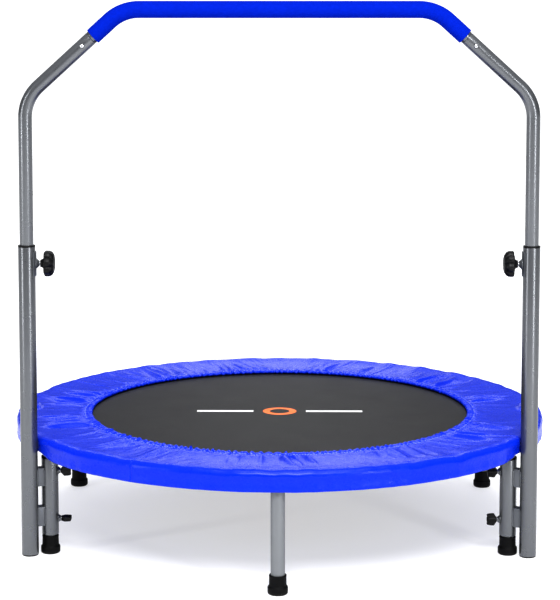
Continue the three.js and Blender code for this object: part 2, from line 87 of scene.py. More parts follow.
# ---- sizes of the pieces that have no box of their own ----
SLIM_BORE = SLIM_R - 1.2 * MM
WIDE_BORE = WIDE_R - 1.5 * MM
M8 = 3.5 * MM
THREAD_PITCH = 1.25 * MM
GAP = 0.3 * MM
KNOB_Z = 551 * MM
WING_LEVELS = {"upper": 157.5 * MM, "lower": 66 * MM}
WING_ROLL = {"left": {"upper": 28, "lower": 90}, "right": {"upper": 12, "lower": 0}}
HEIGHT_STEP = 65 * MM
RAIL_BOTTOM = 440 * MM
RAIL_SHOULDER = Vector((465, 854.3)) * MM
RAIL_CORNER = Vector((285.5, 1017.7)) * MM
RAIL_BEND = 78 * MM
RAIL_JOINT_X = 343 * MM
BUTTON_FROM_JOINT = 20.5 * MM
FOAM_RADIUS = 15.5 * MM
STITCH_RADIUS = 386 * MM
CREST_RADIUS = 12 * MM
PAD_UNDER = 218 * MM
SPRINGS_PER_HALF = 16
SPRING_Z = 213.5 * MM
FOLD_STRENGTH = 1.8
HINGE_LUMP_TOP = 231.6 * MM  # the pad's top over a hinge
HINGE_LUMP_UNDER = 229.0 * MM  # its lining there
SMOOTH_ANGLE = 38  # degrees; a sharper edge stays sharp
SWELL_FRAMES = 16
SWELL_LIMIT = 4 * MM


# ---- camera, floor and light ----
def make_camera():
    """A long lens about level with the rail's top, almost horizontal, and shifted down to the object."""
    data = bpy.data.cameras.new("camera")
    data.sensor_width = 36
    data.lens = 117.06
    data.shift_x = 0.0158
    data.shift_y = -0.1983
    camera = bpy.data.objects.new("camera", data)
    SCENE.collection.objects.link(camera)
    yaw = -0.0111
    pitch = 0.10
    camera.location = Matrix.Rotation(-yaw, 3, "Z") @ Vector((-0.0182, -3.8259, 1.0615))
    camera.rotation_euler = (math.pi / 2 - pitch, 0, -yaw)
    SCENE.camera = camera


def add_softbox(name, location, target, width, height, power):
    data = bpy.data.lights.new(name, "AREA")
    data.shape = "RECTANGLE"
    data.size = width
    data.size_y = height
    data.energy = power
    lamp = bpy.data.objects.new(name, data)
    lamp.location = location
    lamp.rotation_euler = (Vector(target) - Vector(location)).to_track_quat("-Z", "Y").to_euler()
    SCENE.collection.objects.link(lamp)


def make_studio():
    """A pale floor without end, a soft sky and softboxes that draw the tubes' highlights."""
    SCENE.view_settings.view_transform = "Standard"
    SCENE.view_settings.look = "High Contrast"
    world = bpy.data.worlds.new("studio")
    SCENE.world = world
    world.use_nodes = True
    tree = world.node_tree
    tree.nodes.clear()
    height = add_node(tree, "SeparateXYZ", {0: add_node(tree, "TexCoord").outputs["Generated"]}).outputs["Z"]
    ramp = add_node(tree, "ValToRGB", {"Fac": height})
    ramp.color_ramp.elements[0].color = (0.05, 0.052, 0.055, 1)
    ramp.color_ramp.elements[1].position = 0.9
    ramp.color_ramp.elements[1].color = (0.60, 0.61, 0.63, 1)
    sky = add_node(tree, "Background", {"Color": ramp.outputs["Color"]})
    seen = add_node(tree, "Background", {"Color": (1, 1, 1, 1)})
    ray = add_node(tree, "LightPath").outputs["Is Camera Ray"]
    mix = add_node(tree, "MixShader", {"Fac": ray, 1: sky.outputs[0], 2: seen.outputs[0]})
    add_node(tree, "OutputWorld", {"Surface": mix.outputs[0]})

    sun_data = bpy.data.lights.new("overhead", "SUN")
    sun_data.energy = 0.95
    sun_data.angle = math.radians(40)
    sun = bpy.data.objects.new("overhead", sun_data)
    sun.rotation_euler = (math.radians(12), math.radians(4), 0)
    SCENE.collection.objects.link(sun)
    add_softbox("key", (0.3, -3.4, 3.3), (0, 0, 0.2), 2.2, 1.2, 135)
    add_softbox("left_strip", (-3.4, -2.2, 0.9), (-0.2, 0, 0.5), 0.3, 2.6, 34)
    add_softbox("right_strip", (2.3, -3.1, 0.9), (0.2, 0, 0.5), 0.3, 2.6, 42)
    add_softbox("back_bank", (0, 3.0, 2.6), (0, 0, 0.2), 3.4, 0.6, 20)
    add_softbox("back_panel", (0, 3.4, 1.05), (0, 0, 0.3), 0.9, 0.7, 2.2)

    floor_mesh = bpy.data.meshes.new("studio_floor")
    reach = 60
    corners = [(-reach, -reach, 0), (reach, -reach, 0), (reach, reach, 0), (-reach, reach, 0)]
    floor_mesh.from_pydata(corners, [], [(0, 1, 2, 3)])
    floor = bpy.data.objects.new("studio_floor", floor_mesh)
    SCENE.collection.objects.link(floor)
    floor_mesh.materials.append(floor_paint())


# ---- materials ----
def add_node(tree, kind, inputs=None, **settings):
    """A shader node with its settings, and its inputs given by name or number as values or links."""
    new = tree.nodes.new("ShaderNode" + kind)
    for key, value in settings.items():
        setattr(new, key, value)
    for key, value in (inputs or {}).items():
        if isinstance(value, bpy.types.NodeSocket):
            tree.links.new(value, new.inputs[key])
        else:
            new.inputs[key].default_value = value
    return new


class Surface:
    """A Principled material in the making, with the coordinates that its patterns are laid out in."""

    def __init__(self, name, color, roughness, metallic=0.0, layout="Object", **sockets):
        """sockets are further plain values, by socket name with _ for a space."""
        self.material = bpy.data.materials.new(name)
        self.material.use_nodes = True
        self.tree = self.material.node_tree
        self.shader = self.tree.nodes["Principled BSDF"]
        self.shader.inputs["Base Color"].default_value = (*color, 1)
        self.shader.inputs["Roughness"].default_value = roughness
        self.shader.inputs["Metallic"].default_value = metallic
        for key, value in sockets.items():
            self.shader.inputs[key.replace("_", " ")].default_value = value
        self.place = self.add("TexCoord").outputs[layout]

    def add(self, kind, inputs=None, **settings):
        return add_node(self.tree, kind, inputs, **settings)

    def noise(self, scale, detail):
        return self.add("TexNoise", {"Vector": self.place, "Scale": scale, "Detail": detail}).outputs["Fac"]

    def ribs(self, scale, way="X"):
        return self.add("TexWave", {"Vector": self.place, "Scale": scale}, bands_direction=way).outputs["Fac"]

    def weave(self, scale):
        """Threads both ways, as a height from 0 to 1."""
        return self.product(self.ribs(scale, "X"), self.ribs(scale, "Y"))

    def product(self, first, second):
        return self.add("Math", {0: first, 1: second}, operation="MULTIPLY").outputs[0]

    def mixed(self, factor, first, second):
        mix = self.add("Mix", {0: factor}, data_type="RGBA")
        for number, value in ((6, first), (7, second)):
            if isinstance(value, bpy.types.NodeSocket):
                self.tree.links.new(value, mix.inputs[number])
            else:
                mix.inputs[number].default_value = (*value, 1)
        return mix.outputs[2]

    def window(self, value, low, high):
        """0 at low and 1 at high, and the same beyond them."""
        return self.add("MapRange", {"Value": value, "From Min": low, "From Max": high}).outputs["Result"]

    def tint(self, factor, first, second):
        """A base colour that runs between two."""
        self.tree.links.new(self.mixed(factor, first, second), self.shader.inputs["Base Color"])

    def polish(self, value, low, high):
        """A roughness that runs from low to high."""
        rough = self.add("MapRange", {"Value": value, "To Min": low, "To Max": high}).outputs["Result"]
        self.tree.links.new(rough, self.shader.inputs["Roughness"])

    def bump(self, *layers):
        """Bump layers of (height, distance in metres), the first one the coarsest."""
        below = None
        for height, distance in layers:
            layer = self.add("Bump", {"Height": height, "Distance": distance, "Strength": 1.0})
            if below is not None:
                self.tree.links.new(below, layer.inputs["Normal"])
            below = layer.outputs["Normal"]
        self.tree.links.new(below, self.shader.inputs["Normal"])


def dimmed(color, share):
    return tuple(share * value for value in color)


def floor_paint():
    """A white studio floor that is lit a little from below, so that shadows on it stay pale."""
    skin = Surface("floor_paint", (0.62, 0.62, 0.62), 0.9, Specular_IOR_Level=0.0, Emission_Strength=0.4,
                   Emission_Color=(1, 1, 1, 1))
    skin.tint(skin.noise(3, 2), (0.61, 0.61, 0.61), (0.63, 0.63, 0.63))
    return skin.material


def powder_coat(name, color, roughness, metallic):
    """Baked powder paint: a faint orange peel, fine metal flake and slow changes of tone."""
    skin = Surface(name, color, roughness, metallic)
    shades = [skin.add("MapRange", {"Value": skin.noise(*kind), "To Min": 1 - change, "To Max": 1 + change})
              for kind, change in (((2600, 2), 0.06), ((9, 4), 0.05))]
    tone = skin.product(*[shade.outputs["Result"] for shade in shades])
    scaled = skin.add("VectorMath", {0: color, "Scale": tone}, operation="SCALE").outputs[0]
    skin.tree.links.new(scaled, skin.shader.inputs["Base Color"])
    skin.polish(skin.noise(60, 5), roughness - 0.04, roughness + 0.05)
    skin.bump((skin.noise(520, 1), 0.012 * MM))
    return skin.material


def plated_steel(name, color, roughness):
    """Zinc plate with fine turning marks and a slightly uneven shine."""
    skin = Surface(name, color, roughness, 1.0)
    skin.polish(skin.noise(240, 4), roughness - 0.08, roughness + 0.14)
    skin.tint(skin.noise(90, 3), color, dimmed(color, 0.82))
    skin.bump((skin.noise(1800, 2), 0.02 * MM))
    return skin.material


def moulded_plastic(name, color, roughness):
    """Spark-textured nylon, paler where hands and edges rub it."""
    skin = Surface(name, color, roughness, Specular_IOR_Level=0.28)
    rubbed = skin.window(skin.noise(130, 5), 0.58, 0.75)
    skin.tint(rubbed, color, tuple(2 * value + 0.002 for value in color))
    skin.polish(skin.noise(300, 3), roughness - 0.06, roughness + 0.12)
    skin.bump((skin.noise(1500, 2), 0.04 * MM))
    return skin.material


def foot_rubber():
    """Matt rubber with a dusty sole."""
    color = (0.004, 0.004, 0.0045)
    skin = Surface("foot_rubber", color, 0.62, Specular_IOR_Level=0.2)
    height = skin.add("SeparateXYZ", {0: skin.place}).outputs["Z"]
    dust = skin.product(skin.window(height, 7 * MM, 1 * MM), skin.noise(160, 5))
    skin.tint(dust, color, (0.02, 0.019, 0.018))
    skin.bump((skin.noise(420, 3), 0.06 * MM), (skin.noise(1900, 2), 0.03 * MM))
    return skin.material


def grip_foam():
    """Closed-cell foam: tiny open cells in its skin and a soft sheen."""
    color = (0.0006, 0.020, 0.34)
    skin = Surface("grip_foam", color, 0.9, Specular_IOR_Level=0.06)
    cells = skin.add("TexVoronoi", {"Vector": skin.place, "Scale": 750}).outputs["Distance"]
    mottle = skin.noise(170, 5)
    skin.tint(mottle, dimmed(color, 0.82), dimmed(color, 1.12))
    skin.bump((mottle, 0.22 * MM), (cells, 0.16 * MM))
    return skin.material


def pad_vinyl():
    """Coated polyester cloth: a fine basket weave under a glossy skin, with small creases."""
    skin = Surface("pad_vinyl", (0.0008, 0.027, 0.53), 0.26, layout="UV", Specular_IOR_Level=0.22)
    skin.tint(skin.noise(24, 4), (0.0005, 0.023, 0.47), (0.001, 0.031, 0.58))
    skin.polish(skin.noise(70, 4), 0.2, 0.36)
    skin.bump((skin.noise(52, 3), 0.22 * MM), (skin.weave(520), 0.008 * MM))
    return skin.material


def mat_mesh():
    """Tightly woven black polypropylene tape, with a plain printed ring between two bars."""
    skin = Surface("mat_mesh", (0.05, 0.05, 0.052), 0.46, layout="UV", Specular_IOR_Level=0.2)
    weave = skin.weave(260)
    cloud = skin.noise(12, 5)
    cloth = skin.mixed(cloud, (0.0085, 0.0085, 0.009), (0.013, 0.013, 0.014))
    cloth = skin.mixed(weave, cloth, (0.026, 0.026, 0.028))
    cloth = skin.mixed(skin.window(skin.noise(900, 2), 0.62, 0.75), cloth, (0.05, 0.05, 0.052))

    parts = skin.add("SeparateXYZ", {0: skin.place})
    aside, along = (skin.add("Math", {0: parts.outputs[axis]}, operation="ABSOLUTE").outputs[0]
                    for axis in "XY")
    reach = skin.add("VectorMath", {0: skin.place}, operation="LENGTH").outputs["Value"]
    ring = skin.product(skin.window(reach, 34 * MM, 33 * MM), skin.window(reach, 19 * MM, 20 * MM))
    band = skin.product(skin.window(along, 8 * MM, 7.4 * MM), skin.window(aside, 52 * MM, 52.6 * MM))
    bars = skin.product(band, skin.window(aside, 165 * MM, 164.4 * MM))
    skin.tint(bars, skin.mixed(ring, cloth, (0.80, 0.19, 0.05)), (0.72, 0.72, 0.72))
    skin.polish(cloud, 0.42, 0.52)
    skin.bump((weave, 0.16 * MM))
    return skin.material


def black_webbing():
    """Ribbed polypropylene tape."""
    skin = Surface("black_webbing", (0.016, 0.016, 0.017), 0.68, layout="UV")
    skin.tint(skin.noise(40, 4), (0.012, 0.012, 0.013), (0.024, 0.024, 0.026))
    skin.bump((skin.ribs(330), 0.25 * MM))
    return skin.material


def sewing_thread(name, color):
    """Twisted thread."""
    skin = Surface(name, color, 0.6)
    twist = skin.noise(2500, 2)
    skin.tint(twist, dimmed(color, 0.8), color)
    skin.bump((twist, 0.05 * MM))
    return skin.material


# ---- mesh shapes: each is (points, faces) ----
def turned(profile, sides=48, reshape=None):
    """A solid of revolution about +Z from (radius, height) points: a loop, or a line from axis to axis.
    reshape(angle, radius, height) may give a point another radius."""
    on_axis = profile[0][0] == 0 and profile[-1][0] == 0
    angles = [FULL_TURN * i / sides for i in range(sides)]
    points, rows, faces = [], [], []
    for radius, height in profile:
        if radius == 0:
            rows.append([len(points)] * sides)
            points.append((0, 0, height))
            continue
        rows.append(list(range(len(points), len(points) + sides)))
        for angle in angles:
            reach = reshape(angle, radius, height) if reshape else radius
            points.append((reach * math.cos(angle), reach * math.sin(angle), height))
    pairs = list(zip(rows, rows[1:]))
    if not on_axis:
        pairs.append((rows[-1], rows[0]))
    for lower, upper in pairs:
        for i in range(sides):
            k = (i + 1) % sides
            corners = list(dict.fromkeys((lower[i], lower[k], upper[k], upper[i])))
            if len(corners) > 2:
                faces.append(corners)
    return np.array(points, float), faces


def filleted(points, radius, steps=4, loop=False):
    """A line of 2-D points with each corner rounded."""
    points = [Vector(point) for point in points]
    count = len(points)
    result = []
    for i, corner in enumerate(points):
        if not loop and i in (0, count - 1):
            result.append(tuple(corner))
            continue
        before, after = points[i - 1] - corner, points[(i + 1) % count] - corner
        if before.length < 1e-9 or after.length < 1e-9:
            result.append(tuple(corner))
            continue
        turn = math.pi - before.angle(after)
        if turn < 0.05:
            result.append(tuple(corner))
            continue
        reach = min(radius * math.tan(turn / 2), 0.45 * before.length, 0.45 * after.length)
        start, end = corner + before.normalized() * reach, corner + after.normalized() * reach
        for k in range(steps + 1):
            t = k / steps
            bent = start * (1 - t) ** 2 + corner * 2 * t * (1 - t) + end * t ** 2
            result.append(tuple(bent))
    return result


def scaled_mm(profile):
    return [tuple(value * MM for value in point) for point in profile]


def lathed(profile, rounding, steps, sides, loop=False, reshape=None):
    """A profile in metres with rounded corners, turned about +Z."""
    return turned(filleted(profile, rounding, steps, loop), sides, reshape)


def rod(radius, bottom, top, sides):
    return turned([(0, bottom), (radius, bottom), (radius, top), (0, top)], sides)


def pipe(outer, bore, bottom, top, sides=56, edge=0.35 * MM):
    """A tube about +Z with softened end edges."""
    return lathed([(bore, bottom), (outer, bottom), (outer, top), (bore, top)], edge, 3, sides, True)


def moved(shape, matrix):
    points, faces = shape
    return points @ np.array(matrix.to_3x3()).T + np.array(matrix.translation), faces


def merged(*shapes):
    points, faces, base = [], [], 0
    for shape_points, shape_faces in shapes:
        points.append(shape_points)
        faces += [[index + base for index in face] for face in shape_faces]
        base += len(shape_points)
    return np.vstack(points), faces


def at(x, y, z, turn=0.0):
    return Matrix.Translation((x, y, z)) @ Matrix.Rotation(turn, 4, "Z")


def plate(outline, bottom, top, bevel, steps=3):
    """A flat outline between two heights, its edges rounded by the bevel."""
    outline = np.array(outline, float)
    before, after = np.roll(outline, 1, 0) - outline, np.roll(outline, -1, 0) - outline
    along = after / np.linalg.norm(after, axis=1)[:, None] - before / np.linalg.norm(before, axis=1)[:, None]
    along /= np.linalg.norm(along, axis=1)[:, None]
    area = np.sum(outline[:, 0] * np.roll(outline[:, 1], -1) - np.roll(outline[:, 0], -1) * outline[:, 1])
    inward = np.stack([-along[:, 1], along[:, 0]], 1) * np.sign(area)
    levels = []
    for k in range(steps + 1):
        angle = math.pi / 2 * k / steps
        levels.append((bevel * (1 - math.sin(angle)), bottom + bevel * (1 - math.cos(angle))))
    levels += [(inset, top + bottom - height) for inset, height in reversed(levels)]
    points = np.vstack([np.column_stack([outline + inward * inset, np.full(len(outline), height)])
                        for inset, height in levels])
    count = len(outline)
    return points, end_faces(len(levels), count) + grid_faces(len(levels), count)


def grid_faces(levels, count, closed=False):
    """Quads between rows of equally many points; each row is a loop."""
    faces = []
    for level in range(levels if closed else levels - 1):
        above = (level + 1) % levels
        for i in range(count):
            k = (i + 1) % count
            faces.append((level * count + i, level * count + k, above * count + k, above * count + i))
    return faces


def end_faces(levels, count):
    """A face over the first row and one over the last."""
    return [list(range(count))[::-1], [(levels - 1) * count + i for i in range(count)]]


def skinned(rows, closed_path=False):
    """Faces between rows of equally many points, each row a closed loop."""
    count = len(rows[0])
    faces = grid_faces(len(rows), count, closed_path)
    if not closed_path:
        faces += end_faces(len(rows), count)
    return np.vstack(rows), faces


def tube_along(path, outer, bore, sides=40, lip=0.4 * MM):
    """A hollow tube along (point, side, up) stations, with rounded lips at both ends."""
    angles = np.linspace(0, FULL_TURN, sides, endpoint=False)
    circle = np.stack([np.cos(angles), np.sin(angles)], 1)
    rows = []

    def row(station, radius, shift=0.0):
        point, side, up = (np.array(value) for value in station)
        forward = np.cross(side, up)
        rows.append(point + forward * shift + radius * (circle[:, :1] * side + circle[:, 1:] * up))

    for k in range(3):
        angle = math.pi / 2 * k / 3
        row(path[0], outer - lip * (1 - math.sin(angle)), lip * (1 - math.cos(angle)))
    for i, station in enumerate(path):
        shift = {0: lip, len(path) - 1: -lip}.get(i, 0)
        row(station, outer, shift)
    for k in (2, 1, 0):
        angle = math.pi / 2 * k / 3
        row(path[-1], outer - lip * (1 - math.sin(angle)), -lip * (1 - math.cos(angle)))
    for station in reversed(path):
        row(station, bore)
    return skinned(rows, True)


def wire(points, radius, sides=8):
    """A round wire through points, with flat ends; the cross-section is carried without twist."""
    points = np.array(points, float)
    tangents = np.gradient(points, axis=0)
    tangents /= np.linalg.norm(tangents, axis=1)[:, None]
    side = np.cross(tangents[0], (0.31, 0.22, 0.93))
    side /= np.linalg.norm(side)
    angles = np.linspace(0, FULL_TURN, sides, endpoint=False)
    rows = []
    for point, tangent in zip(points, tangents):
        side = side - tangent * side.dot(tangent)
        side /= np.linalg.norm(side)
        up = np.cross(tangent, side)
        rows.append(point + radius * (np.cos(angles)[:, None] * side + np.sin(angles)[:, None] * up))
    return skinned(rows)


def refined(node, bevel, least_angle=35, segments=2):
    """A CAD node's own shape with every sharp edge rounded."""
    bm = bmesh.new()
    bm.from_mesh(frame["nodes"][node].data)
    bmesh.ops.remove_doubles(bm, verts=bm.verts, dist=2e-6)
    bmesh.ops.dissolve_limit(bm, angle_limit=math.radians(2), verts=bm.verts, edges=bm.edges)
    sharp = [edge for edge in bm.edges
             if edge.is_manifold and edge.calc_face_angle(0) > math.radians(least_angle)]
    bmesh.ops.bevel(bm, geom=sharp, offset=bevel, segments=segments, profile=0.5, affect="EDGES",
                    clamp_overlap=True)
    points = np.array([vertex.co for vertex in bm.verts], float)
    for number, vertex in enumerate(bm.verts):
        vertex.index = number
    faces = [[vertex.index for vertex in face.verts] for face in bm.faces]
    bm.free()
    return points, faces


# ---- making a piece ----
def mesh_object(name, shape, material, uv=None, smooth_angle=SMOOTH_ANGLE):
    """An object from a shape; uv gives each face's corners their cloth coordinates."""
    points, faces = shape
    mesh = bpy.data.meshes.new(name)
    mesh.from_pydata(points.tolist(), [], faces)
    if uv is not None:
        layer = mesh.uv_layers.new(name="cloth")
        corners = np.empty(len(mesh.loops), np.int32)
        mesh.loops.foreach_get("vertex_index", corners)
        layer.data.foreach_set("uv", np.asarray(uv, np.float32)[corners].ravel())
    mesh.validate()
    bm = bmesh.new()
    bm.from_mesh(mesh)
    bmesh.ops.recalc_face_normals(bm, faces=bm.faces)
    bm.to_mesh(mesh)
    bm.free()
    finish_shading(mesh, smooth_angle)
    mesh.materials.append(material)
    obj = bpy.data.objects.new(name, mesh)
    SCENE.collection.objects.link(obj)
    return obj


def finish_shading(mesh, smooth_angle):
    mesh.polygons.foreach_set("use_smooth", [True] * len(mesh.polygons))
    mesh.set_sharp_from_angle(angle=math.radians(smooth_angle))


def drilled(obj, cutters):
    """Cuts shapes out of an object."""
    material = obj.data.materials[0]
    for number, shape in enumerate(cutters):
        tool = mesh_object(f"cutter_{number}", shape, material)
        cut = obj.modifiers.new("cut", "BOOLEAN")
        cut.operation = "DIFFERENCE"
        cut.solver = "EXACT"
        cut.object = tool
        bpy.context.view_layer.update()
        evaluated = obj.evaluated_get(bpy.context.evaluated_depsgraph_get())
        result = bpy.data.meshes.new_from_object(evaluated)
        obj.modifiers.clear()
        obj.data = result
        bpy.data.objects.remove(tool)
    finish_shading(obj.data, SMOOTH_ANGLE)
    return obj


def placed(obj, body, slot, *nodes):
    """Puts a piece on its body, in the place of CAD nodes; its slot is not used."""
    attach(obj, body)
    if nodes:
        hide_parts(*nodes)
    return obj


def make_piece(name, shape, material, body, slot, *nodes, smooth_angle=SMOOTH_ANGLE):
    """A rigid piece from a shape."""
    return placed(mesh_object(name, shape, material, smooth_angle=smooth_angle), body, slot, *nodes)


def spanning(obj, slot, *nodes):
    """Leaves a piece that spans the fold on no body, its placement baked into its mesh, in the place of CAD
    nodes; its slot is not used.
    """
    if nodes:
        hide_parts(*nodes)
    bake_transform(obj)
    return obj


# ---- frame ring, legs and feet ----
def ring_path(half, radius, height, setback, steps=96):
    """Stations round half the ring; half is -1 at the front and 1 at the back."""
    start = math.asin(setback / radius)
    stations = []
    for i in range(steps + 1):
        angle = start + (math.pi - 2 * start) * i / steps
        outward = np.array([math.cos(angle), half * math.sin(angle), 0])
        stations.append((outward * radius + np.array([0, 0, height]), outward, np.array([0, 0, 1])))
    return stations


def make_frame_half(where, half, body):
    """Half the ring tube, with a hole underneath for each leg's stud."""
    path = ring_path(half, RING_RADIUS, RING_Z, 0.5 * MM)
    ring = mesh_object(f"{where}_ring_tube", tube_along(path, SLIM_R, SLIM_BORE), PAINT)
    cutters = []
    for spot in SPOTS:
        x, y = centre_of(f"{where}_{spot}_leg")
        cutters.append(moved(rod(4.6 * MM, -20 * MM, 0, 24), at(x, y, RING_Z)))
    drilled(ring, cutters)
    placed(ring, body, "frame_paint", f"{where}_frame_half")


def centre_of(node):
    low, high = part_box(node)
    return (low.x + high.x) / 2, (low.y + high.y) / 2


def make_leg(name, body):
    """A leg tube with its threaded plug, in a rubber foot."""
    x, y = centre_of(f"{name}_leg")
    low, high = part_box(f"{name}_leg")
    top = RING_Z - SLIM_R - GAP
    profile = [(0, high.z), (4 * MM, high.z), (4 * MM, top), (SLIM_R, top),
               (SLIM_R, low.z), (SLIM_BORE, low.z), (SLIM_BORE, top - 6 * MM), (0, top - 6 * MM)]
    tube = moved(lathed(profile, 0.5 * MM, 3, 56), at(x, y, 0))
    make_piece(f"{name}_leg_tube", tube, LEG_PAINT, body, "frame_paint", f"{name}_leg")

    bore = (SLIM_R + GAP) / MM
    cup = [(0, 0), (13.2, 0), (13.6, 0.5), (15.2, 0.5), (17.6, 2.4), (18, 5), (18, 12.6), (17.4, 14.2),
           (16.0, 15.2), (15.5, 17), (15.1, 31.2), (15.45, 31.9), (15.45, 34.1), (14.9, 35), (bore, 35),
           (bore, 5.6), (0, 5.6)]
    foot = moved(lathed(scaled_mm(cup), 0.5 * MM, 3, 64), at(x, y, 0))
    make_piece(f"{name}_foot_cup", foot, RUBBER, body, "foot_rubber", f"{name}_foot")


# ---- hinges ----
def make_hinge(side_name):
    """Two leaves, one on each half, and the rivet through them."""
    for where, (half, body) in HALVES.items():
        node = f"{side_name}_hinge_{where}_leaf"
        make_piece(f"{side_name}_{where}_hinge_leaf", refined(node, 0.35 * MM), PAINT,
                   body, "frame_paint", node)
    low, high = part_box(f"{side_name}_hinge_pin")
    middle = (low.x + high.x) / 2
    end = (high.x - low.x) / 2
    neck = end - 1.4 * MM
    profile = [(0, -end), (3.3 * MM, -end), (3.3 * MM, -neck), (2 * MM, -neck),
               (2 * MM, neck), (3.3 * MM, neck), (3.3 * MM, end), (0, end)]
    along_x = Matrix.Translation((middle, 0, FOLD_Z)) @ Matrix.Rotation(math.pi / 2, 4, "Y")
    make_piece(f"{side_name}_rivet_pin", moved(lathed(profile, 0.5 * MM, 3, 32), along_x), STEEL,
               "front_frame", "bright_steel", f"{side_name}_hinge_pin")


# ---- posts, sleeves and brackets ----
def inwards(side, x, y, z, roll=0.0):
    """A place whose own +Z points from the tube's axis at the middle of the trampoline."""
    return (Matrix.Translation((x, y, z)) @ Matrix.Rotation(-side * math.pi / 2, 4, "Y")
            @ Matrix.Rotation(math.radians(roll), 4, "Z"))


def make_post(name, side):
    """The post tube with the height bolt's hole, its top bush and its foot plug."""
    x = side * POST_X
    low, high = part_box(f"{name}_post")
    place = at(x, POST_Y, 0)
    post = mesh_object(f"{name}_post_tube", moved(pipe(WIDE_R, WIDE_BORE, low.z, high.z), place), PAINT)
    hole = rod(4.5 * MM, 5 * MM, 22 * MM, 28)
    drilled(post, [moved(hole, inwards(side, x, POST_Y, KNOB_Z))])
    placed(post, "front_frame", "frame_paint", f"{name}_post")

    make_piece(f"{name}_collar_bush", moved(bush(high.z, 3 * MM, 20 * MM), place), PLASTIC,
               "front_frame", "black_plastic", f"{name}_post_collar")
    top = low.z - GAP
    fit = WIDE_BORE - GAP
    profile = [(0, 0), (13.4 * MM, 0), (15.4 * MM, 1.4 * MM), (15.4 * MM, top), (fit, top), (fit, 15 * MM),
               (0, 15 * MM)]
    make_piece(f"{name}_post_end_plug", moved(lathed(profile, 0.7 * MM, 4, 56), place), PLASTIC,
               "front_frame", "black_plastic", f"{name}_post_plug")


def bush(end, lip, spigot):
    """A plastic bush: a rounded lip on a tube's end and a spigot down inside it."""
    bore = SLIM_R + GAP
    fit = WIDE_BORE - GAP
    loop = [(bore, end + lip), (WIDE_R, end + lip), (WIDE_R, end + GAP), (fit, end + GAP),
            (fit, end - spigot), (bore, end - spigot)]
    return lathed(loop, 0.9 * MM, 4, 56, True)


def make_sleeve(name, side):
    """The sleeve round a leg, with a conical weld nut at each wing bolt, and its plastic liner."""
    place = at(side * SLEEVE_X, SLEEVE_Y, 0)
    low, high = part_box(f"{name}_sleeve")
    steps_out = [(4, -1.2), (8.2, -1.2), (8.2, -0.2), (6.4, 1.2), (5.2, 3.4), (4.9, 4), (4, 4)]
    nut = [(radius * MM, WIDE_R + out * MM) for radius, out in steps_out]
    shapes = [pipe(WIDE_R, WIDE_BORE, low.z, high.z)]
    for z in WING_LEVELS.values():
        shapes.append(moved(lathed(nut, 0.5 * MM, 3, 40, True), inwards(side, 0, 0, z)))
    make_piece(f"{name}_sleeve_tube", moved(merged(*shapes), place), PAINT,
               "front_frame", "frame_paint", f"{name}_sleeve")
    make_piece(f"{name}_liner_bush", moved(bush(high.z, 4 * MM, 14 * MM), place), PLASTIC,
               "front_frame", "black_plastic", f"{name}_sleeve_liner")


def weld_bead(start, end, lean, width=1.5 * MM):
    """A rippled weld along a line; lean moves its middle off the surface."""
    start, end, lean = Vector(start), Vector(end), Vector(lean)
    ripples = max(6, int((end - start).length / (1.1 * MM)))
    path = []
    for i in range(ripples * 3 + 1):
        t = i / (ripples * 3)
        swell = 0.14 * math.sin(t * ripples * FULL_TURN)
        path.append(start.lerp(end, t) + lean * swell)
    return wire(path, width, 10)


def make_brackets(name, side):
    """The two box brackets between sleeve and post, with the welds that hold them."""
    post = Vector((side * POST_X, POST_Y, 0))
    leg = Vector((side * SLEEVE_X, SLEEVE_Y, 0))
    towards_post = (post - leg).normalized()
    across = Vector((-towards_post.y, towards_post.x, 0))
    for level in WING_LEVELS:
        node = f"{name}_{level}_bracket"
        low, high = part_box(node)
        shapes = [refined(node, 1.1 * MM, 35, 3)]
        for centre, facing in ((leg, towards_post), (post, -towards_post)):
            for edge in (-1, 1):
                foot = centre + facing * (WIDE_R * 0.80) + across * edge * (WIDE_R * 0.62)
                start = foot + Vector((0, 0, low.z + 3 * MM))
                end = foot + Vector((0, 0, high.z - 3 * MM))
                shapes.append(weld_bead(start, end, facing * MM))
        make_piece(f"{name}_{level}_box_bracket", merged(*shapes), BRACKET_PAINT,
                   "front_frame", "frame_paint", node)


# ---- knobs and their studs ----
def threaded(tip, reach):
    """A threaded stud between two heights."""
    profile = [(0, tip), (M8 * 0.72, tip)]
    turns = int((reach - tip - 1.2 * MM) / THREAD_PITCH)
    for i in range(turns):
        base = tip + 0.8 * MM + i * THREAD_PITCH
        profile += [(M8 * 0.84, base), (M8, base + THREAD_PITCH * 0.42), (M8, base + THREAD_PITCH * 0.58)]
    profile += [(M8 * 0.84, tip + 0.8 * MM + turns * THREAD_PITCH), (M8 * 0.84, reach), (0, reach)]
    return turned(profile, 28)


def lobed(angle, radius, height):
    """Seven rounded lobes that deepen away from the axis, the same at every height."""
    depth = 0.17 * min(1.0, max(0.0, (radius - 11 * MM) / (9 * MM)))
    return radius * (1 - depth * (1 - abs(math.cos(3.5 * angle)) ** 0.75))


